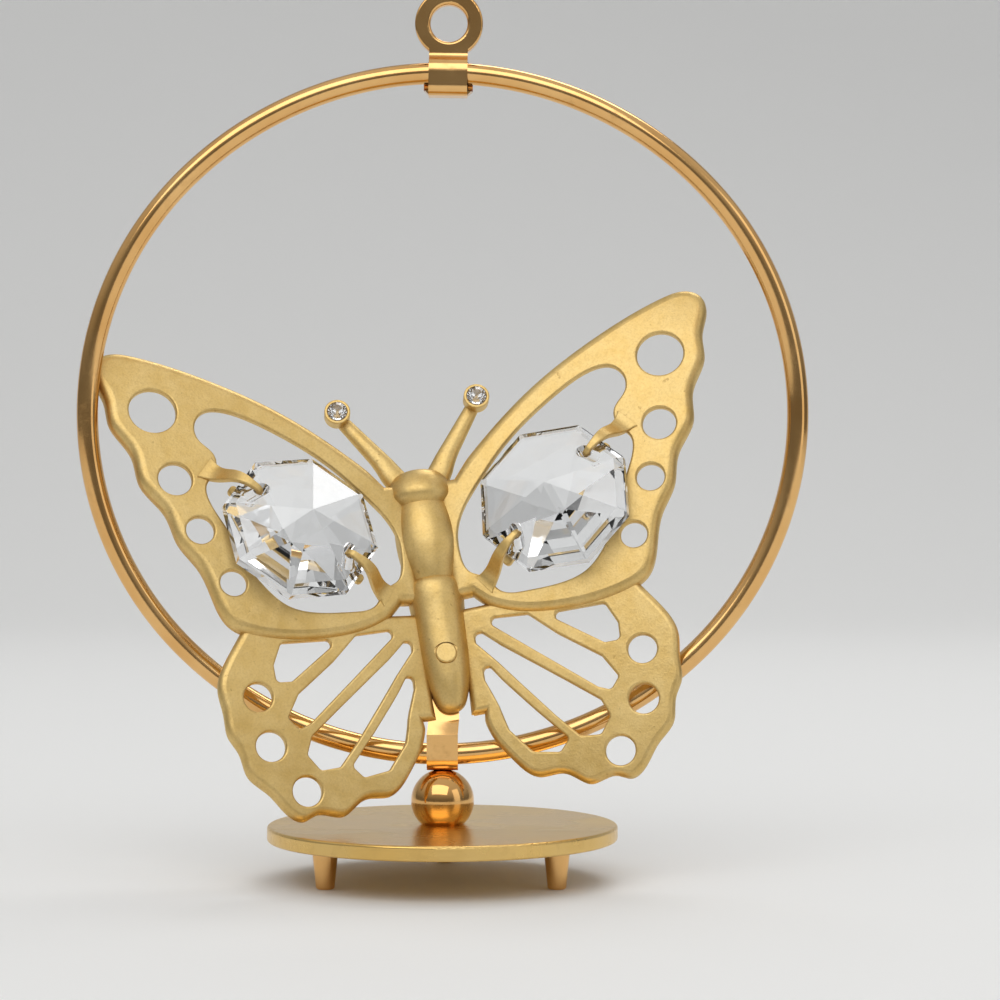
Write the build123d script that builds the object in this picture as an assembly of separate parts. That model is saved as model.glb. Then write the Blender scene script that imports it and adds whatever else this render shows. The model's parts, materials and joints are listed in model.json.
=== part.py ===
from build123d import *
import math
import os

# Butterfly ornament: an oval wire ring with a pierced brass butterfly and two cut crystals, on a small round base.
# Millimetres. X runs to the right, Y away from the viewer and Z up. The origin is on the surface that the
# ornament stands on, under the middle of its base.

# Base disc: a pressed cap with a short rim
base_diameter = 32.7
base_plate = 0.8
base_rim_height = 1.4
base_rim_wall = 0.9
base_edge_round = 0.25

# Feet: three turned cones soldered under the plate
foot_height = 3.8
foot_top_diameter = 2.6
foot_sole_diameter = 1.7
foot_sole_round = 0.25
foot_inset = 4.15

# Ball, and the screw that holds it to the base
ball_diameter = 5.9
ball_seat_depth = 0.75
ball_top_flat_depth = 0.1
screw_diameter = 2.0
screw_fit = 0.05
screw_reach_in_ball = 2.6
screw_hole_extra = 0.4
screw_head_diameter = 3.8
screw_head_height = 1.2
screw_head_round = 0.4
screw_slot_width = 0.6
screw_slot_depth = 0.6

# Ring: round wire bent to an oval of four arcs, with its ends butting inside the hanger clip
wire_diameter = 2.0
wire_fit = 0.05
ring_half_width = 33.2
ring_half_height = 31.8
ring_end_gap = 0.2

# Hanger clip: a strip folded over the wire, its two leaves closed and pierced as an eyelet
clip_sheet = 0.6
clip_sleeve_width = 4.6
clip_sleeve_rise = 1.3
clip_corner = 0.7
clip_drop = 2.2
clip_fold_round = 0.9
clip_neck_width = 3.6
clip_edge_round = 0.2
eyelet_rise = 4.6
eyelet_diameter = 6.35
eyelet_hole_diameter = 3.45
eyelet_lip_round = 0.3
clip_throat_round = 0.6
clip_turn = 0.9

# Strap: a strip folded under the ring, up in front of the wire and turned to lie behind the abdomen
strap_sheet = 0.5
strap_width = 2.9
strap_fold_round = 0.7
strap_back_rise = 0.9
strap_front_rise = 1.9
pad_width = 3.4
pad_length = 8.8
pad_overhang = 0.8

# Rivet through the abdomen and the strap
rivet_diameter = 1.2
rivet_fit = 0.05
rivet_head_diameter = 2.0
rivet_head_height = 0.3
rivet_peen_height = 0.35
rivet_round_share = 0.6
rivet_seat_depth = 0.2
rivet_seat_fit = 0.02

# Butterfly: where the middle of its thorax lies, and how it is turned in the ring
thorax_right = -1.5
thorax_back = 4.47
thorax_above_base = 26.24
butterfly_yaw = 7.6
butterfly_pitch = 20.0
butterfly_roll = 9.4
wing_raise = 13.6
wing_bend_radius = 195.0

# Butterfly sheet: how far the front of each wing lies before the middle, and how deep its margins are drawn
gauge = 0.6
forewing_front = 0.5
forewing_depth = 1.3
forewing_round = 0.9
hindwing_front = 0.0
hindwing_depth = 0.9
hindwing_round = 0.65
lip_round = 0.2
cutter_length = 6.0
wing_reach_share = 3.6

# Outline points, as shares of this length: across from the body's middle as seen from the front, then headwards
outline_unit = 10.0

forewing_shares = (
    (0.30, 0.59), (0.66, 0.94), (1.20, 1.38), (1.90, 1.78), (2.53, 2.03), (2.79, 2.05),
    (2.91, 1.96), (2.93, 1.80), (2.85, 1.56), (2.83, 1.32), (2.66, 0.98), (2.62, 0.70), (2.42, 0.38),
    (2.34, 0.10), (2.18, -0.16), (2.09, -0.42), (1.95, -0.74), (1.69, -0.86), (1.15, -0.91), (0.64, -0.82),
    (0.30, -0.60),
)
hindwing_shares = (
    (1.80, -0.70), (1.98, -0.98), (2.12, -1.32), (2.09, -1.56), (2.07, -1.76),
    (1.99, -1.91), (1.93, -2.13), (1.76, -2.30), (1.60, -2.50), (1.46, -2.57), (1.34, -2.52), (1.10, -2.55),
    (0.88, -2.41), (0.66, -2.40), (0.42, -2.17), (0.30, -1.97), (0.24, -1.72),
)
opening_shares = (
    (0.24, -0.10), (0.32, 0.20), (0.50, 0.42), (0.78, 0.74), (1.02, 0.96), (1.28, 1.15), (1.58, 1.33),
    (1.80, 1.41), (1.95, 1.40), (2.06, 1.26), (2.04, 1.11), (1.92, 0.96), (1.92, 0.79), (2.02, 0.64),
    (2.00, 0.44), (1.87, 0.16), (1.76, -0.14), (1.62, -0.37), (1.40, -0.59), (1.16, -0.66), (0.84, -0.67),
    (0.60, -0.62), (0.47, -0.46), (0.32, -0.38),
)
slot_shares = (
    ((0.96, -0.91), (1.51, -0.92), (1.60, -1.13), (1.59, -1.29), (1.45, -1.29)),
    ((0.37, -0.84), (0.80, -0.88), (1.04, -1.12), (1.40, -1.41), (1.52, -1.63), (1.43, -1.74), (1.32, -1.69)),
    ((0.25, -0.97), (0.33, -0.97), (1.03, -1.56), (1.32, -1.81), (1.38, -1.98), (1.27, -2.13), (1.09, -2.11),
     (0.90, -1.88), (0.46, -1.28), (0.25, -1.06)),
    ((0.28, -1.31), (0.36, -1.31), (0.73, -1.80), (0.98, -2.11), (0.88, -2.22), (0.64, -2.17), (0.46, -1.93),
     (0.40, -1.70), (0.28, -1.42)),
)
wing_root_share = 0.12
inset_steps = 48
slot_round = 0.45
forehole_shares = ((2.43, 1.42, 0.225), (2.305, 0.71, 0.16), (2.135, 0.19, 0.133), (1.89, -0.34, 0.125))
hindhole_shares = ((1.775, -1.42, 0.135), (1.705, -1.88, 0.14), (1.415, -2.31, 0.138))

# Body, as shares of the outline unit: half width, then headwards
body_depth_behind = 0.9
body_axis_behind = 0.6
head_shares = ((0.0, 0.74), (0.19, 0.69), (0.265, 0.54), (0.22, 0.37))
thorax_shares = ((0.22, 0.37), (0.258, 0.0), (0.19, -0.38))
abdomen_shares = ((0.19, -0.38), (0.22, -0.63), (0.197, -1.15), (0.13, -1.55), (0.0, -1.68))
rivet_station_share = 2

# Antennae, with a cup for a stone at the end of each
antenna_root_shares = (0.15, 0.64)
antenna_end_shares = (0.68, 1.41)
antenna_root_width = 2.2
antenna_end_width = 1.3
antenna_root_thickness = 1.3
antenna_end_thickness = 0.9
cup_diameter = 2.5
cup_height = 1.4
cup_wall = 0.25
cup_floor = 0.5
cup_edge_round = 0.1
stone_fit = 0.05
stone_girdle = 0.15
stone_crown = 0.35
stone_table_share = 0.55
stone_sides_share = 12
stone_culet_share = 0.2

# Crystals: faceted octagons with two holes, hung on hooks bent up out of the forewings
crystal_place_shares = (1.236, 0.137)
crystal_turn = 39.9
crystal_lean = 9.0
crystal_across_flats = 14.0
crystal_edge = 0.9
crystal_bevel = 0.8
crystal_bevel_depth = 0.65
crystal_point = 2.6
crystal_before_wing = 0.9
crystal_hole_diameter = 1.5
crystal_hole_inset = 2.0

# Hooks
hook_sheet = 0.6
hook_root_width = 3.4
hook_neck_width = 1.1
hook_tip_width = 0.56
hook_root = 10.6
hook_neck = 7.6
hook_rise_end = 6.0
hook_clearance = 0.28
hook_nub = 7.6
hook_nub_round = 0.4
hook_edge_round = 0.12
hook_bend = 0.25

# Places worked out from the sizes above
rim_bottom = foot_height
base_top = foot_height + base_rim_height
plate_bottom = base_top - base_plate
ball_radius = ball_diameter / 2
ball_centre = base_top + ball_radius - ball_seat_depth
ball_top = ball_centre + ball_radius - ball_top_flat_depth
wire_radius = wire_diameter / 2
wire_low = ball_top + strap_sheet + wire_radius
ring_centre = wire_low + ring_half_height
oval_offset = (ring_half_width - ring_half_height) / (2 - math.sqrt(2))
side_radius = ring_half_width - oval_offset
crown_radius = ring_half_height + oval_offset
spread = 1 / math.cos(math.radians(wing_raise))
rivet_station = abdomen_shares[rivet_station_share]
rivet_height = rivet_station[1] * outline_unit
rivet_seat = body_axis_behind - rivet_station[0] * outline_unit + rivet_seat_depth
tail_height = abdomen_shares[-1][1] * outline_unit
butterfly_place = (
    Pos(thorax_right, thorax_back, base_top + thorax_above_base)
    * Rot(0, -butterfly_roll, 0) * Rot(-butterfly_pitch, 0, 0) * Rot(0, 0, butterfly_yaw)
)


def upright(x, z):
    return Vector(x, 0, z)


def revolve_profile(points):
    """Solid of revolution about Z from points given as radius and height."""
    outline = Polyline(*[upright(r, z) for r, z in points], close=True)
    return revolve(make_face(outline), Axis.Z)


def make_base_disc():
    radius = base_diameter / 2
    inner = radius - base_rim_wall
    hole = screw_diameter / 2 + screw_fit
    cap = Pos(0, 0, rim_bottom) * Cylinder(radius, base_rim_height, align=(Align.CENTER, Align.CENTER, Align.MIN))
    cap -= Pos(0, 0, plate_bottom) * Cylinder(
        inner, base_rim_height, align=(Align.CENTER, Align.CENTER, Align.MAX))
    outer_edges = cap.edges().filter_by(GeomType.CIRCLE).group_by(SortBy.RADIUS)[-1]
    cap = fillet(outer_edges, base_edge_round)
    return cap - Pos(0, 0, plate_bottom) * Cylinder(hole, base_rim_height * 2)


def make_foot(turn):
    low = foot_sole_diameter / 2
    high = foot_top_diameter / 2
    tall = plate_bottom
    foot = Cone(low, high, tall, align=(Align.CENTER, Align.CENTER, Align.MIN))
    foot = fillet(foot.edges().sort_by(Axis.Z)[0], foot_sole_round)
    return Rot(0, 0, turn) * Pos(0, foot_inset - base_diameter / 2, 0) * foot


def make_ball():
    ball = Pos(0, 0, ball_centre) * Sphere(ball_radius)
    slab = Pos(0, 0, base_top) * Box(
        ball_diameter, ball_diameter, ball_top - base_top, align=(Align.CENTER, Align.CENTER, Align.MIN))
    bore_length = screw_reach_in_ball + screw_hole_extra
    bore = Pos(0, 0, base_top) * Cylinder(
        screw_diameter / 2 + screw_fit, bore_length * 2)
    return ball & slab - bore


def make_base_screw():
    radius = screw_diameter / 2
    head = screw_head_diameter / 2
    under = plate_bottom
    low = under - screw_head_height
    low_round = head - screw_head_round
    body = revolve_profile((
        (0, low), (low_round, low), (head, low + screw_head_round), (head, under), (radius, under),
        (radius, base_top + screw_reach_in_ball - radius / 2), (radius / 2, base_top + screw_reach_in_ball),
        (0, base_top + screw_reach_in_ball),
    ))
    slot = Pos(0, 0, low) * Box(screw_head_diameter, screw_slot_width, screw_slot_depth * 2)
    return body - slot


def oval_path():
    """Middle line of the wire, from one end of the gap at the top round to the other."""
    half_gap = math.degrees(ring_end_gap / 2 / crown_radius)
    crown = upright(0, ring_centre - oval_offset)
    keel = upright(0, ring_centre + oval_offset)
    right = upright(oval_offset, ring_centre)
    left = upright(-oval_offset, ring_centre)

    def arc(centre, radius, start, end):
        at = [centre + radius * upright(math.cos(math.radians(a)), math.sin(math.radians(a)))
              for a in (start, (start + end) / 2, end)]
        return ThreePointArc(*at)

    return Wire([
        arc(crown, crown_radius, 90 - half_gap, 45), arc(right, side_radius, 45, -45),
        arc(keel, crown_radius, -45, -135), arc(left, side_radius, -135, -225),
        arc(crown, crown_radius, 135, 90 + half_gap),
    ])


def make_ring():
    path = oval_path()
    section = Plane(origin=path @ 0, z_dir=path % 0) * Circle(wire_radius)
    return sweep(section, path)


def clip_section():
    """Section of the folded strip: two leaves closed above the wire, and a flat fold below it."""
    reach = wire_radius + clip_sheet
    slack = wire_radius + wire_fit
    tall = eyelet_rise + eyelet_diameter
    fold = Rectangle(reach * 2, clip_drop, align=(Align.CENTER, Align.MAX))
    fold = fillet(fold.vertices().group_by(Axis.Y)[0], clip_fold_round)
    leaves = Circle(reach) + Rectangle(clip_sheet * 2, tall, align=(Align.CENTER, Align.MIN))
    leaves = fillet(leaves.vertices().group_by(Axis.Y)[-2], clip_throat_round)
    hollow = Rectangle(slack * 2, clip_drop - clip_sheet, align=(Align.CENTER, Align.MAX))
    hollow = fillet(hollow.vertices().group_by(Axis.Y)[0], clip_fold_round - clip_sheet)
    return fold + leaves - hollow - Circle(slack)


def make_hanger_clip():
    """Built on a straight wire through the origin, cut by the wire's own curve, and set on top of the ring."""
    reach = wire_radius + clip_sheet
    strip_solid = extrude(Plane.YZ * clip_section(), eyelet_diameter, both=True)
    neck = Pos(0, -clip_drop) * Rectangle(
        clip_neck_width, clip_drop + eyelet_rise, align=(Align.CENTER, Align.MIN))
    eyelet = Pos(0, eyelet_rise) * (Circle(eyelet_diameter / 2) - Circle(eyelet_hole_diameter / 2))
    front = neck - Pos(0, eyelet_rise) * Circle(eyelet_hole_diameter / 2) + eyelet
    sleeve = Pos(0, clip_sleeve_rise) * Rectangle(
        clip_sleeve_width, clip_sleeve_rise + clip_drop, align=(Align.CENTER, Align.MAX))
    sleeve = chamfer(sleeve.vertices(), clip_corner)
    clip = strip_solid & extrude(Plane.XZ * front, reach * 2, both=True)
    clip += strip_solid & extrude(Plane.XZ * sleeve, -reach * 2)
    rims = clip.edges().filter_by(GeomType.CIRCLE)
    hole_rims = rims.filter_by(lambda e: abs(e.radius - eyelet_hole_diameter / 2) < wire_fit)
    clip = fillet(hole_rims, eyelet_lip_round)
    rims = clip.edges().filter_by(GeomType.CIRCLE)
    outer_rims = rims.filter_by(lambda e: abs(e.radius - eyelet_diameter / 2) < wire_fit)
    clip = fillet(outer_rims, clip_edge_round)
    wire = Pos(0, 0, -crown_radius) * Rot(90, 0, 0) * Torus(crown_radius, wire_radius + wire_fit)
    clip -= wire
    return Pos(0, 0, ring_centre - oval_offset) * Rot(0, clip_turn, 0) * Pos(0, 0, crown_radius) * clip


def make_strap():
    """Folded under the wire, with its front leaf led over to the pad behind the abdomen."""
    side = wire_radius + strap_sheet / 2
    low = wire_low - side
    bend = strap_fold_round + strap_sheet / 2
    middle = FilletPolyline(
        (side, wire_low + strap_back_rise), (side, low), (-side, low), (-side, wire_low + strap_front_rise),
        radius=bend)
    fold = extrude(Plane.YZ * trace(middle, strap_sheet), strap_width / 2, both=True)
    top = Pos(0, -side, wire_low + strap_front_rise) * Rectangle(strap_width, strap_sheet)
    pad_low = butterfly_place * Pos(0, body_depth_behind + strap_sheet / 2, tail_height - pad_overhang)
    twist = loft([top, pad_low * Rectangle(pad_width, strap_sheet)], ruled=True)
    pad = pad_low * extrude(Rectangle(pad_width, strap_sheet), pad_length)
    hole = butterfly_place * rivet_shaft(rivet_fit)
    return fold + twist + pad - hole


def rivet_shaft(clearance):
    """Shaft of the rivet along Y, grown by a clearance."""
    reach = body_depth_behind + strap_sheet
    shaft = Cylinder(rivet_diameter / 2 + clearance, reach - rivet_seat)
    return Pos(0, (reach + rivet_seat) / 2, rivet_height) * Rot(90, 0, 0) * shaft


def rivet_head(depth, facing):
    head = Cylinder(rivet_head_diameter / 2, depth, align=(Align.CENTER, Align.CENTER, Align.MIN))
    head = fillet(head.edges().sort_by(Axis.Z)[-1], depth * rivet_round_share)
    return Rot(90 * facing, 0, 0) * head


def make_body_rivet():
    front = Pos(0, rivet_seat, rivet_height) * rivet_head(rivet_head_height, 1)
    back = Pos(0, body_depth_behind + strap_sheet, rivet_height) * rivet_head(rivet_peen_height, -1)
    return butterfly_place * (front + rivet_shaft(0) + back)


def outline_point(share):
    """Point of a wing's outline in the plane of the raised wing."""
    return share[0] * outline_unit * spread, share[1] * outline_unit


def wing_margin(shares, inset):
    """Smooth clockwise margin of a wing, drawn in by an inset."""
    margin = Spline(*[outline_point(share) for share in shares])
    if not inset:
        return margin
    points = []
    for step in range(inset_steps + 1):
        heading = margin % (step / inset_steps)
        points.append(margin @ (step / inset_steps) + inset * Vector(heading.Y, -heading.X))
    return Spline(*points)


def wing_face(shares, inset):
    """Face inside a wing's margin, closed squarely within the body."""
    margin = wing_margin(shares, inset)
    start = margin @ 0
    end = margin @ 1
    root = outline_point((wing_root_share, 0))[0] + inset
    closing = Polyline(end, (root, end.Y), (root, start.Y), start)
    return Face(Wire([margin.edge(), *closing.edges()]))


def round_cell(shares):
    """Straight-sided cell with rounded corners."""
    cell = make_face(Polyline(*[outline_point(share) for share in shares], close=True))
    return fillet(cell.vertices(), slot_round)


def through(face):
    """Prism that runs through the wing's sheet."""
    return extrude(Plane.XZ * face, cutter_length, both=True)


def bent_slab(front, depth):
    """Slab of the wing's bend, from its front surface to a depth behind it."""
    outer = wing_bend_radius + front
    width = outline_unit * wing_reach_share
    tube = Cylinder(outer, width) - Cylinder(outer - depth, width)
    return Pos(width / 2, wing_bend_radius, 0) * Rot(0, 90, 0) * tube


def wing_blank(shares, front, depth, round_radius):
    """Drawn blank of one wing with a rolled front margin, and the hollow behind it."""
    blank = through(wing_face(shares, 0)) & bent_slab(front, depth)
    margin = blank.faces().filter_by(GeomType.CYLINDER).sort_by(Axis.Y)[0].edges()
    blank = fillet(margin, round_radius)
    hollow = through(wing_face(shares, gauge)) & bent_slab(front - gauge, cutter_length)
    return blank, hollow


def pierce(blank, faces):
    """Cut the faces through a wing's blank, and round the front lip of each."""
    for face in faces:
        blank -= through(face)
    front = blank.faces().filter_by(lambda f: len(f.inner_wires()) > 0).sort_by(Axis.Y)[0]
    lips = [edge for wire in front.inner_wires() for edge in wire.edges()]
    return fillet(lips, lip_round)


def hook_place():
    """Middle of the crystal in the plane of the wing, with its holes along local X and its front to local Z."""
    across, up = outline_point(crystal_place_shares)
    before = forewing_front + crystal_before_wing
    return Pos(across, -before, up) * Rot(90, 0, 0) * Rot(0, 0, crystal_turn)


def crystal_place():
    """As the hooks, with the crystal leaning forward at its lower outer side."""
    return hook_place() * Rot(-crystal_lean, 0, 0)


def make_hook():
    """Tab from the web, over the rim of the crystal, down through its hole and out again behind it."""
    hole = crystal_across_flats / 2 - crystal_hole_inset
    slope = crystal_point / (crystal_across_flats / 2 - crystal_bevel)
    lip = (crystal_hole_inset - crystal_bevel - crystal_hole_diameter / 2) * slope
    over = crystal_edge / 2 + crystal_bevel_depth + lip + hook_clearance + hook_sheet / 2
    web = -crystal_before_wing - gauge / 2
    bend = hook_bend + hook_sheet / 2
    rise = Spline((hook_root, web), (hook_rise_end, over), tangents=((-1, 0), (-1, 0)))
    leg = FilletPolyline((hook_rise_end, over), (hole, over), (hole, -over), (hook_nub, -over), radius=bend)
    section = trace(rise, hook_sheet) + trace(leg, hook_sheet)
    band = extrude(Plane.XZ * section, hook_root_width, both=True)
    half_root = hook_root_width / 2
    half_neck = hook_neck_width / 2
    half_tip = hook_tip_width / 2
    near = hole - hook_sheet
    far = hook_root + hook_sheet
    side = Spline(
        (near, half_tip), (hole, half_tip), (hook_neck, half_neck), (far, half_root), tangents=((1, 0), (1, 1)))
    other = Spline(
        (near, -half_tip), (hole, -half_tip), (hook_neck, -half_neck), (far, -half_root), tangents=((1, 0), (1, -1)))
    plan = Face(Wire([
        side.edge(), Line((far, half_root), (far, -half_root)).edge(), other.edge(),
        Line((near, -half_tip), (near, half_tip)).edge(),
    ]))
    hook = band & extrude(plan, over * 2, both=True)
    rims = hook.edges().filter_by(lambda e: abs(e.center().Y) > half_tip / 2)
    hook = fillet(rims.filter_by(lambda e: abs(e.center().X - hook_nub) < hook_edge_round), hook_nub_round)
    rims = hook.edges().filter_by(lambda e: abs(e.center().Y) > half_tip / 2)
    return fillet(rims.filter_by(lambda e: e.center().X < hook_root - hook_edge_round), hook_edge_round)


def hole_face(across, up, radius):
    return Pos(*outline_point((across, up))) * Circle(radius * outline_unit)


def make_right_wing():
    forewing, forewing_hollow = wing_blank(forewing_shares, forewing_front, forewing_depth, forewing_round)
    opening = Spline(*[outline_point(share) for share in opening_shares], periodic=True)
    forewing = pierce(forewing, [Face(Wire([opening.edge()]))] + [hole_face(*hole) for hole in forehole_shares])
    hindwing, hindwing_hollow = wing_blank(hindwing_shares, hindwing_front, hindwing_depth, hindwing_round)
    slots = [round_cell(shares) for shares in slot_shares]
    hindwing = pierce(hindwing, slots + [hole_face(*hole) for hole in hindhole_shares])
    wing = forewing + hindwing - forewing_hollow - hindwing_hollow
    hook = make_hook()
    for turn in (0, 180):
        wing += hook_place() * Rot(0, 0, turn) * hook
    return Rot(0, 0, -wing_raise) * wing


def body_solid(wall):
    """Head, thorax and abdomen turned about an upright line, less a wall all round."""
    def line_of(shares):
        return [(max(across * outline_unit - wall, 0), up * outline_unit) for across, up in shares]

    head = line_of(head_shares)
    thorax = line_of(thorax_shares)
    abdomen = line_of(abdomen_shares)
    head[0] = (0, head[0][1] - wall)
    abdomen[-1] = (0, abdomen[-1][1] + wall)
    edges = [
        Spline(*head, tangents=((1, 0), (-1, -1))).edge(), ThreePointArc(*thorax).edge(),
        Spline(*abdomen, tangents=((1, -1), (-1, 0))).edge(), Line(abdomen[-1], head[0]).edge(),
    ]
    turned = revolve(Plane.XZ * Face(Wire(edges)), Axis.Z)
    return Pos(0, body_axis_behind, 0) * turned


def make_antenna():
    root = tuple(share * outline_unit for share in antenna_root_shares)
    end = tuple(share * outline_unit for share in antenna_end_shares)
    back = body_axis_behind
    along = Vector(end[0] - root[0], 0, end[1] - root[1])
    low = Plane(upright(*root), x_dir=(0, 1, 0), z_dir=along) * Ellipse(
        antenna_root_thickness / 2, antenna_root_width / 2)
    high = Plane(upright(*end), x_dir=(0, 1, 0), z_dir=along) * Ellipse(
        antenna_end_thickness / 2, antenna_end_width / 2)
    bar = loft([low, high])
    cup = Cylinder(cup_diameter / 2, cup_height, align=(Align.CENTER, Align.CENTER, Align.MIN))
    cup = Pos(end[0], 0, end[1]) * Rot(90, 0, 0) * fillet(cup.edges(), cup_edge_round)
    return Pos(0, back, 0) * (bar + cup - cup_recess())


def cup_recess():
    """Hollow of the cup, on the flat plane behind the antenna."""
    end = tuple(share * outline_unit for share in antenna_end_shares)
    recess = Cylinder(cup_diameter / 2 - cup_wall, cup_height, align=(Align.CENTER, Align.CENTER, Align.MIN))
    return Pos(end[0], -cup_floor, end[1]) * Rot(90, 0, 0) * recess


def make_butterfly():
    wing = make_right_wing()
    antenna = make_antenna()
    shell = body_solid(0)
    width = outline_unit * wing_reach_share
    behind = Pos(0, body_depth_behind, 0) * Box(
        width, width, width * 2, align=(Align.CENTER, Align.MIN, Align.CENTER))
    shell -= behind
    whole = shell
    for piece in (wing, antenna):
        whole += piece
        whole += mirror(piece, about=Plane.YZ)
    whole -= body_solid(gauge)
    pad_space = Pos(0, body_depth_behind, tail_height) * Box(
        pad_width + rivet_fit * 2, cutter_length, pad_length * 2, align=(Align.CENTER, Align.MIN, Align.CENTER))
    seat = Pos(0, rivet_seat, rivet_height) * Rot(90, 0, 0) * Cylinder(
        rivet_head_diameter / 2 + rivet_seat_fit, cutter_length, align=(Align.CENTER, Align.CENTER, Align.MIN))
    for space in (pad_space, seat, rivet_shaft(rivet_fit)):
        whole -= space
    return butterfly_place * whole


def octagon(radius):
    return RegularPolygon(radius, 8, major_radius=False, rotation=22.5)


def make_crystal(side):
    """Octagon with a bevelled rim and eight facets that rise to a point, alike front and back."""
    radius = crystal_across_flats / 2
    inner = radius - crystal_bevel
    low = crystal_edge / 2
    bevel = loft([Pos(0, 0, low) * octagon(radius), Pos(0, 0, low + crystal_bevel_depth) * octagon(inner)],
                 ruled=True)
    top = low + crystal_bevel_depth
    point = loft([Pos(0, 0, top) * octagon(inner), Vertex(0, 0, top + crystal_point)], ruled=True)
    half = extrude(octagon(radius), low) + bevel + point
    crystal = half + mirror(half, about=Plane.XY)
    reach = radius - crystal_hole_inset
    for along in (-reach, reach):
        crystal -= Pos(along, 0, 0) * Cylinder(crystal_hole_diameter / 2, crystal_across_flats)
    placed = Rot(0, 0, -wing_raise) * crystal_place() * crystal
    if side == "left":
        placed = mirror(placed, about=Plane.YZ)
    return butterfly_place * placed


def make_stone(side):
    """Eight-sided cut stone with a flat table, set into its cup."""
    end = tuple(share * outline_unit for share in antenna_end_shares)
    radius = cup_diameter / 2 - cup_wall - stone_fit
    girdle_low = cup_height - cup_floor - stone_girdle / 2
    def ring_face(height, share):
        return Pos(0, 0, height) * RegularPolygon(radius * share, stone_sides_share)
    stone = loft([ring_face(0, stone_culet_share), ring_face(girdle_low, 1)], ruled=True)
    stone += extrude(ring_face(girdle_low, 1), stone_girdle)
    stone += loft([ring_face(girdle_low + stone_girdle, 1),
                   ring_face(girdle_low + stone_girdle + stone_crown, stone_table_share)], ruled=True)
    placed = Pos(end[0], body_axis_behind - cup_floor, end[1]) * Rot(90, 0, 0) * stone
    if side == "left":
        placed = mirror(placed, about=Plane.YZ)
    return butterfly_place * placed


def save(name, shape):
    export_step(shape, "parts/" + name + ".step")


os.makedirs("parts", exist_ok=True)
save("base_disc", make_base_disc())
save("foot_left", make_foot(-60))
save("foot_right", make_foot(60))
save("foot_back", make_foot(180))
save("ball", make_ball())
save("base_screw", make_base_screw())
save("ring", make_ring())
save("hanger_clip", make_hanger_clip())
save("strap", make_strap())
save("body_rivet", make_body_rivet())
save("butterfly", make_butterfly())
save("crystal_left", make_crystal("left"))
save("crystal_right", make_crystal("right"))
save("stone_left", make_stone("left"))
save("stone_right", make_stone("right"))
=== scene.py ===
import json
import math

import bpy
import mathutils
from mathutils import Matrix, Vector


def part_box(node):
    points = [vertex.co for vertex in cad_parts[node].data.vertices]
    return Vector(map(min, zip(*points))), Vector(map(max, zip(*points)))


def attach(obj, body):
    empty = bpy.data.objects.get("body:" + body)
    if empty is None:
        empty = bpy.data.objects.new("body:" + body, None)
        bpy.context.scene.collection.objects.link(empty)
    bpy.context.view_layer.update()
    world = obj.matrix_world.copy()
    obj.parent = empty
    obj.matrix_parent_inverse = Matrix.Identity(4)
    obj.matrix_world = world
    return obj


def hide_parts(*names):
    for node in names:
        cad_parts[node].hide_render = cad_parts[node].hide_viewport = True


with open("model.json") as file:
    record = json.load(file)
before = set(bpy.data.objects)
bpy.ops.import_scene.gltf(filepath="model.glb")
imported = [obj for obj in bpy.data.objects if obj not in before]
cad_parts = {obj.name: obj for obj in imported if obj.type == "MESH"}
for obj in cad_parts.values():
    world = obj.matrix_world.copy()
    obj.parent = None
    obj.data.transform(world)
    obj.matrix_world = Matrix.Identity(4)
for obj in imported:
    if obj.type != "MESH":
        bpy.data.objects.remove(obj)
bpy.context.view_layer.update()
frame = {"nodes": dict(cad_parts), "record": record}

MM = 0.001

# Room brightness from straight down, through eye height, to straight up
ROOM_TONES = ((0.0, 0.34), (0.45, 0.20), (0.56, 0.17), (0.75, 0.48), (1.0, 0.70))

# Soft boxes: place and size in metres, and watts, all aimed at the middle of the object
LAMPS = (
    ("key", (-0.12, -0.58, 0.62), (0.90, 0.55), 2.4),
    ("fill", (0.55, -0.35, 0.25), (0.30, 0.50), 0.35),
    ("rim", (0.15, 0.35, 0.60), (0.40, 0.20), 0.9),
)
LAMP_AIM = (0.0, 0.0, 0.04)

# Camera: its distance, height and place across in millimetres, and the size of the picture
CAMERA_DISTANCE = 250.0
CAMERA_HEIGHT = 35.47
CAMERA_ACROSS = 5.37
PIXELS_PER_MM = 10.7
PICTURE_PIXELS = 1000.0
SENSOR_WIDTH = 36.0

# Middle of the thorax in millimetres, and how the butterfly is turned in the ring in degrees
THORAX = (-1.5, 4.47, 31.44)
BUTTERFLY_TURNS = ((-9.4, "Y"), (-20.0, "X"), (7.6, "Z"))

# Body: how far its sides are pressed out, and from where to where, in the butterfly's own millimetres
BODY_FILL = 0.42
BODY_SIDE = 2.2
BODY_FADE_END = 5.4
BODY_TOP = 9.0
BODY_TOP_FADE = 2.0
BODY_TAIL = -18.0
BODY_TAIL_FADE = 1.5

# Strap: its back, rivet and pad's foot in the butterfly's own millimetres, the top of its fold in the frame's
STRAP_BACK = 1.15
STRAP_RIVET = -11.5
STRAP_PAD_FOOT = -17.6
STRAP_FOLD_TOP = 13.65
STRAP_NARROWING = 0.13

# Ring: how many steps round its oval, and round its wire
RING_STEPS = 720
WIRE_STEPS = 40

# Sweep behind the object, in metres
SWEEP_HALF_WIDTH = 1.6
SWEEP_FRONT = -1.2
SWEEP_BACK = 0.5
SWEEP_BEND = 0.5
SWEEP_TOP = 2.0
SWEEP_STEPS = 16


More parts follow.
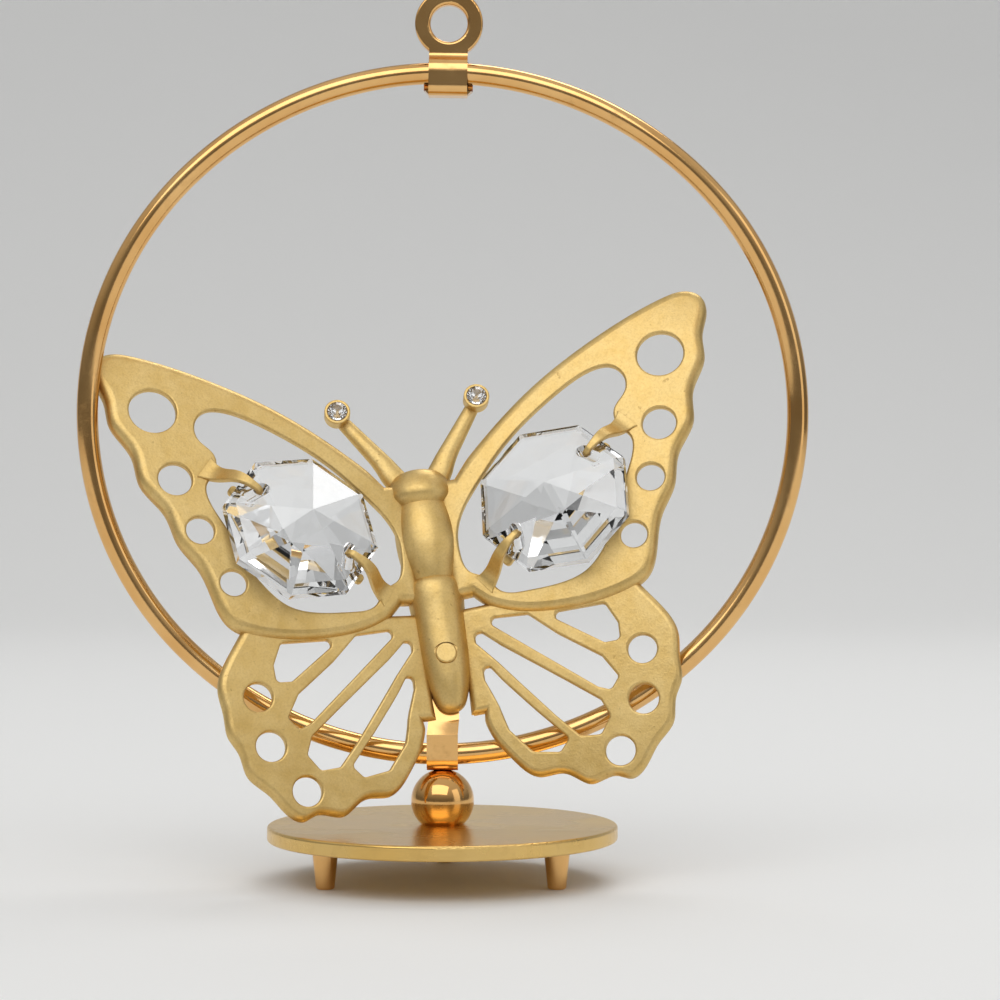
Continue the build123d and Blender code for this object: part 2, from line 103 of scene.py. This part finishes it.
# Shader sockets as Python values
class Socket:
    """A shader socket, or a plain number that takes part in sums with one."""

    def __init__(self, shader, link):
        self.shader = shader
        self.link = link

    def math(self, operation, other):
        return self.shader.node("ShaderNodeMath", {"operation": operation}, [self, other])

    def __add__(self, other):
        return self.math("ADD", other)

    def __sub__(self, other):
        return self.math("SUBTRACT", other)

    def __rsub__(self, other):
        return Socket(self.shader, other).math("SUBTRACT", self)

    def __mul__(self, other):
        return self.math("MULTIPLY", other)

    __radd__ = __add__
    __rmul__ = __mul__


class Shader:
    """Node tree of one material, or of the world, with its surface and its output."""

    def __init__(self, owner, surface="Principled BSDF", place="Object"):
        owner.use_nodes = True
        self.owner = owner
        self.tree = owner.node_tree
        self.surface = self.tree.nodes[surface]
        self.place = self.node("ShaderNodeTexCoord", output=place)

    def feed(self, socket, value):
        if isinstance(value, Socket):
            value = value.link
        if isinstance(value, bpy.types.NodeSocket):
            self.tree.links.new(value, socket)
        else:
            socket.default_value = value

    def node(self, kind, settings=None, inputs=None, output=0):
        """Any node: its settings first, then its sockets by place or by name."""
        made = self.tree.nodes.new(kind)
        for name, value in (settings or {}).items():
            if name == "stops":
                self.set_stops(made.color_ramp, value)
            else:
                setattr(made, name, value)
        pairs = inputs.items() if isinstance(inputs, dict) else enumerate(inputs or [])
        for name, value in pairs:
            self.feed(made.inputs[name], value)
        return Socket(self, made.outputs[output])

    def set_stops(self, ramp, stops):
        while len(ramp.elements) < len(stops):
            ramp.elements.new(0.5)
        for element, (position, colour) in zip(ramp.elements, stops):
            element.position = position
            element.color = (*colour, 1.0)

    def noise(self, scale, detail=2.0, roughness=0.5, vector=None):
        return self.node("ShaderNodeTexNoise", inputs={
            "Vector": vector or self.place, "Scale": scale, "Detail": detail, "Roughness": roughness})

    def ramp(self, value, stops):
        return self.node("ShaderNodeValToRGB", {"stops": stops}, [value])

    def spread(self, value, low, high, out_low=0.0, out_high=1.0):
        """Value carried from one range to another, held at its ends."""
        return self.node("ShaderNodeMapRange", {"clamp": True}, [value, low, high, out_low, out_high])

    def mix(self, share, first, second):
        inputs = {0: share, 6: first, 7: second}
        return self.node("ShaderNodeMix", {"data_type": "RGBA"}, inputs, output=2)

    def stretch(self, x, y, z):
        return self.node("ShaderNodeMapping", inputs={"Vector": self.place, "Scale": (x, y, z)})

    def bump(self, height, depth, strength=1.0):
        inputs = {"Height": height, "Distance": depth, "Strength": strength}
        return self.node("ShaderNodeBump", inputs=inputs)

    def set(self, **values):
        for name, value in values.items():
            self.feed(self.surface.inputs[name.replace("_", " ")], value)
        return self.owner


def material(name):
    return Shader(bpy.data.materials.new(name))


def rgb(red, green, blue):
    return (red, green, blue, 1.0)


def satin_gold():
    """Tumbled gilt brass: fine grain, soft clouds of tone, small dark pits and painted shade in the corners.
    """
    shader = material("satin_gold")
    clouds = shader.noise(220.0, 4.0, 0.6)
    grain = shader.noise(5200.0, 2.0, 0.6)
    tone = shader.mix(shader.spread(clouds, 0.35, 0.68), rgb(0.66, 0.45, 0.155), rgb(0.76, 0.55, 0.22))
    mottle = shader.spread(shader.noise(900.0, 3.0, 0.6), 0.35, 0.7)
    tone = shader.mix(mottle * 0.35, tone, rgb(0.82, 0.63, 0.30))
    tone = shader.mix(shader.spread(grain, 0.45, 0.70) * 0.30, tone, rgb(0.50, 0.33, 0.12))
    pits = shader.spread(shader.noise(1500.0, 3.0, 0.55), 0.69, 0.74)
    tone = shader.mix(pits * 0.55, tone, rgb(0.36, 0.22, 0.07))
    # Painted shade: ambient occlusion finds the recesses, which are darkened to brown and made a little
    # rougher.
    hidden = shader.node(
        "ShaderNodeAmbientOcclusion", {"samples": 4}, {"Distance": 1.2 * MM}, output="AO")
    painted_recess_shade = shader.spread(hidden, 0.35, 0.85, 0.6, 0.0) * shader.spread(mottle, 0.0, 1.0, 0.7, 1.0)
    tone = shader.mix(painted_recess_shade, tone, rgb(0.40, 0.22, 0.06))
    rough = shader.spread(clouds, 0.3, 0.7, 0.40, 0.48) + (grain - 0.5) * 0.12 + painted_recess_shade * 0.15
    normal = shader.bump(grain + mottle * 0.6, 0.018 * MM, 0.8)
    return shader.set(Base_Color=tone, Metallic=1.0, Roughness=rough, Normal=normal)


def brushed_gold():
    """Satin gilt plate of the base, brushed one way."""
    shader = material("brushed_gold")
    lines = shader.noise(600.0, 4.0, 0.65, shader.stretch(0.05, 3.0, 1.0))
    haze = shader.noise(120.0, 3.0, 0.55)
    tone = shader.mix(shader.spread(haze, 0.35, 0.68), rgb(0.74, 0.48, 0.15), rgb(0.83, 0.58, 0.22))
    tone = shader.mix(shader.spread(lines, 0.55, 0.8) * 0.35, tone, rgb(0.55, 0.33, 0.10))
    rough = shader.spread(haze, 0.3, 0.7, 0.22, 0.32) + (lines - 0.5) * 0.1
    normal = shader.bump(lines, 0.008 * MM, 0.5)
    return shader.set(Base_Color=tone, Metallic=1.0, Roughness=rough, Normal=normal)


def polished_gold():
    """Bright coppery gilt of the wire, ball and strips, with handling haze, light tarnish and a fine grain."""
    shader = material("polished_gold")
    haze = shader.noise(160.0, 3.0, 0.55)
    tone = shader.mix(shader.spread(haze, 0.3, 0.7), rgb(0.74, 0.41, 0.14), rgb(0.84, 0.52, 0.21))
    tarnish = shader.spread(shader.noise(420.0, 4.0, 0.62), 0.60, 0.78)
    tone = shader.mix(tarnish * 0.4, tone, rgb(0.52, 0.27, 0.09))
    rough = shader.spread(haze, 0.35, 0.75, 0.09, 0.18) + tarnish * 0.14
    normal = shader.bump(shader.noise(3000.0, 2.0, 0.5), 0.004 * MM, 0.4)
    return shader.set(Base_Color=tone, Metallic=1.0, Roughness=rough, Normal=normal)


def steel():
    """Plated screw with a little wear."""
    shader = material("steel")
    wear = shader.noise(900.0, 3.0, 0.6)
    tone = shader.mix(shader.spread(wear, 0.4, 0.7), rgb(0.56, 0.56, 0.57), rgb(0.40, 0.39, 0.38))
    return shader.set(Base_Color=tone, Metallic=1.0, Roughness=shader.spread(wear, 0.3, 0.7, 0.25, 0.45))


def crystal():
    """Clear cut glass with faint dust on its facets."""
    shader = material("cut_crystal")
    dust = shader.noise(700.0, 3.0, 0.6)
    rough = shader.spread(dust, 0.45, 0.8, 0.0, 0.08)
    clear = rgb(0.93, 0.94, 0.95)
    return shader.set(Base_Color=clear, Roughness=rough, IOR=1.56, Transmission_Weight=1.0)


def dress_nodes():
    """Each node gets its slot's finish, and the base disc a brushed one."""
    finishes = {
        "satin_gold": satin_gold(),
        "polished_gold": polished_gold(),
        "steel": steel(),
        "crystal": crystal(),
    }
    brushed = brushed_gold()
    for part in frame["record"]["subparts"]:
        materials = frame["nodes"][part["node"]].data.materials
        materials.clear()
        materials.append(brushed if part["node"] == "base_disc" else finishes[part["material_slot"]])


def shown(name, data):
    """New object of a mesh, lamp or camera, in the scene."""
    made = bpy.data.objects.new(name, data)
    bpy.context.scene.collection.objects.link(made)
    return made


def smooth(mesh):
    for face in mesh.polygons:
        face.use_smooth = True


def oval_points(half_width, half_height):
    """Middle line of the ring: an oval of four arcs, as x, z and heading from its own middle."""
    offset = (half_width - half_height) / (2.0 - math.sqrt(2.0))
    points = []
    for step in range(RING_STEPS):
        turn = 2.0 * math.pi * (step + 0.5) / RING_STEPS
        side = abs(math.cos(turn)) > abs(math.sin(turn))
        radius = half_width - offset if side else half_height + offset
        x = math.copysign(offset, math.cos(turn)) if side else 0.0
        z = 0.0 if side else -math.copysign(offset, math.sin(turn))
        points.append((x + radius * math.cos(turn), z + radius * math.sin(turn), turn))
    return points


def smooth_ring():
    """Round wire of the ring, closed inside the clip and finer than the node that it stands for."""
    low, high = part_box("ring")
    wire = (high[1] - low[1]) / 2.0
    middle = [(a + b) / 2.0 for a, b in zip(low, high)]
    path = oval_points((high[0] - low[0]) / 2.0 - wire, (high[2] - low[2]) / 2.0 - wire)
    vertices = []
    for x, z, turn in path:
        for step in range(WIRE_STEPS):
            lean = 2.0 * math.pi * step / WIRE_STEPS
            out = wire * math.cos(lean)
            vertices.append((
                middle[0] + x + out * math.cos(turn), middle[1] + wire * math.sin(lean),
                middle[2] + z + out * math.sin(turn)))
    faces = []
    for station in range(RING_STEPS):
        here = station * WIRE_STEPS
        after = (station + 1) % RING_STEPS * WIRE_STEPS
        for step in range(WIRE_STEPS):
            beside = (step + 1) % WIRE_STEPS
            faces.append((here + step, after + step, after + beside, here + beside))
    mesh = bpy.data.meshes.new("ring_wire")
    mesh.from_pydata(vertices, [], faces)
    smooth(mesh)
    mesh.materials.append(frame["nodes"]["ring"].data.materials[0])
    made = shown("ring_wire", mesh)
    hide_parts("ring")
    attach(made, "stand")


def butterfly_place():
    """Where the middle of the thorax lies in the ring, and how the butterfly is turned."""
    place = mathutils.Matrix.Translation([length * MM for length in THORAX])
    for turn, axis in BUTTERFLY_TURNS:
        place = place @ mathutils.Matrix.Rotation(math.radians(turn), 4, axis)
    return place


def held(value):
    """Value held between 0 and 1."""
    return min(max(value, 0.0), 1.0)


def full_bodied_butterfly():
    """The stamped sheet with its body pressed out fuller at the sides, easing off into the wing roots."""
    mesh = frame["nodes"]["butterfly"].data.copy()
    place = butterfly_place()
    inside = place.inverted()
    for vertex in mesh.vertices:
        point = inside @ vertex.co
        across = abs(point.x) / MM
        height = point.z / MM
        rise = held(across / BODY_SIDE)
        fall = held((BODY_FADE_END - across) / (BODY_FADE_END - BODY_SIDE))
        fall = fall * fall * (3.0 - 2.0 * fall)
        along = held((BODY_TOP - height) / BODY_TOP_FADE) * held((height - BODY_TAIL) / BODY_TAIL_FADE)
        point.x += math.copysign(BODY_FILL * MM * rise * fall * along, point.x)
        vertex.co = place @ point
    made = shown("butterfly_sheet", mesh)
    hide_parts("butterfly")
    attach(made, "stand")


def upright_strap():
    """The strap with its run from the fold up to the rivet hanging straight, and as wide as the fold."""
    mesh = frame["nodes"]["strap"].data.copy()
    place = butterfly_place()
    rivet = place @ mathutils.Vector((0.0, STRAP_BACK * MM, STRAP_RIVET * MM))
    foot = place @ mathutils.Vector((0.0, STRAP_BACK * MM, STRAP_PAD_FOOT * MM))
    fold_top = STRAP_FOLD_TOP * MM
    for vertex in mesh.vertices:
        height = vertex.co.z
        if not fold_top < height < rivet.z:
            continue
        if height < foot.z:
            share = (height - fold_top) / (foot.z - fold_top)
            middle = foot.x * share
        else:
            share = (rivet.z - height) / (rivet.z - foot.z)
            middle = rivet.x + (foot.x - rivet.x) * share
        straight = rivet.x * (height - fold_top) / (rivet.z - fold_top)
        vertex.co.x = straight + (vertex.co.x - middle) * (1.0 - STRAP_NARROWING * share)
    made = shown("strap_strip", mesh)
    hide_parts("strap")
    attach(made, "stand")


def stage_surface(name, colour, vertices, faces):
    mesh = bpy.data.meshes.new(name)
    mesh.from_pydata(vertices, [], faces)
    mesh.materials.append(material(name).set(Base_Color=colour, Roughness=0.7))
    made = shown(name, mesh)
    return made


def backdrop():
    """Pale sweep: a floor that curves up into a wall."""
    profile = [(SWEEP_FRONT, 0.0), (SWEEP_BACK, 0.0)]
    for step in range(1, SWEEP_STEPS + 1):
        turn = math.pi / 2 * step / SWEEP_STEPS
        back = SWEEP_BACK + SWEEP_BEND * math.sin(turn)
        profile.append((back, SWEEP_BEND - SWEEP_BEND * math.cos(turn)))
    profile.append((SWEEP_BACK + SWEEP_BEND, SWEEP_TOP))
    vertices = [(x, y, z) for y, z in profile for x in (-SWEEP_HALF_WIDTH, SWEEP_HALF_WIDTH)]
    faces = [(2 * i, 2 * i + 1, 2 * i + 3, 2 * i + 2) for i in range(len(profile) - 1)]
    made = stage_surface("backdrop", rgb(0.90, 0.90, 0.89), vertices, faces)
    smooth(made.data)


def softbox(name, place, size, watts):
    light = bpy.data.lights.new(name, "AREA")
    light.shape = "RECTANGLE"
    light.size, light.size_y = size
    light.energy = watts
    made = shown(name, light)
    made.location = place
    direction = mathutils.Vector(LAMP_AIM) - mathutils.Vector(place)
    made.rotation_euler = direction.to_track_quat("-Z", "Y").to_euler()


def studio_light():
    """Soft boxes over the camera and beside it, in a room that is bright above and darker at eye height."""
    world = bpy.data.worlds.new("studio")
    bpy.context.scene.world = world
    room = Shader(world, "Background", "Generated")
    height = room.node("ShaderNodeSeparateXYZ", inputs=[room.place], output="Z")
    stops = [(level, (tone, tone, tone)) for level, tone in ROOM_TONES]
    room.set(Color=room.ramp(room.spread(height, -1.0, 1.0), stops), Strength=1.0)
    for name, place, size, watts in LAMPS:
        softbox(name, place, size, watts)


def camera():
    lens = bpy.data.cameras.new("camera")
    lens.sensor_width = SENSOR_WIDTH
    lens.lens = SENSOR_WIDTH * CAMERA_DISTANCE / (PICTURE_PIXELS / PIXELS_PER_MM)
    lens.clip_start = 0.01
    made = shown("camera", lens)
    made.location = (CAMERA_ACROSS * MM, -CAMERA_DISTANCE * MM, CAMERA_HEIGHT * MM)
    made.rotation_euler = (math.radians(90.0), 0.0, 0.0)
    bpy.context.scene.camera = made


dress_nodes()
smooth_ring()
full_bodied_butterfly()
upright_strap()
backdrop()
studio_light()
camera()
bpy.context.scene.view_settings.view_transform = "Standard"
